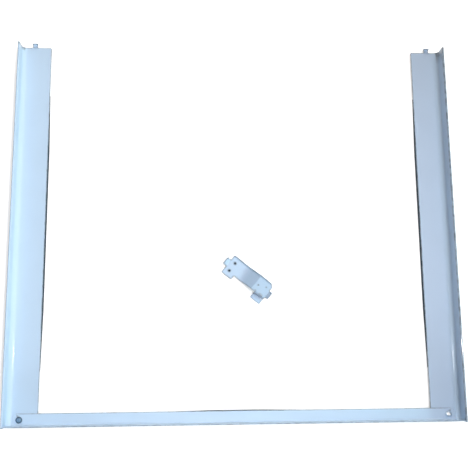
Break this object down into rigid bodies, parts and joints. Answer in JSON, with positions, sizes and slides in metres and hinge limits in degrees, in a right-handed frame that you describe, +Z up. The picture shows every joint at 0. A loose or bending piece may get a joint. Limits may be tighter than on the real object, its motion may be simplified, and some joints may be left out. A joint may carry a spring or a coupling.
{
  "type": "washer dryer stacking kit",
  "caption": "U-shaped pressed sheet frame that keeps a dryer on top of a washing machine, with corner screws, rubber pads and a loose anchor clip.",
  "frame": {"origin": "centre of the bounding box's footprint, on the level that the rubber pads stand on", "axes": "+X across the frame towards the right side rail, +Y from the front rail towards the open rear end, +Z up"},
  "size_m": [0.598, 0.5232, 0.0252],
  "materials": {
    "rail_paint": "semi-gloss light blue-white powder coat",
    "clip_paint": "semi-gloss light blue-white powder coat",
    "bright_zinc": "bright zinc plate",
    "dark_zinc": "dark passivated zinc plate",
    "rubber": "matt closed-cell rubber"
  },
  "bodies": {
    "frame": {"side_rail_left": "rail_paint", "corner_screw_left": "dark_zinc", "corner_nut_left": "bright_zinc", "rubber_strip_left": "rubber", "rubber_pad_front_left": "rubber", "rubber_pad_rear_left": "rubber", "side_rail_right": "rail_paint", "corner_screw_right": "bright_zinc", "corner_nut_right": "bright_zinc", "rubber_strip_right": "rubber", "rubber_pad_front_right": "rubber", "rubber_pad_rear_right": "rubber", "front_rail": "rail_paint", "rubber_strip_front": "rubber"},
    "clip": {"anchor_clip": "clip_paint", "rubber_pad_clip": "rubber"}
  },
  "joints": [
    {"name": "clip_lift", "type": "slide", "parent": "frame", "child": "clip", "axis": [0, 0, 1], "range_m": [0, 0.12]}
  ]
}
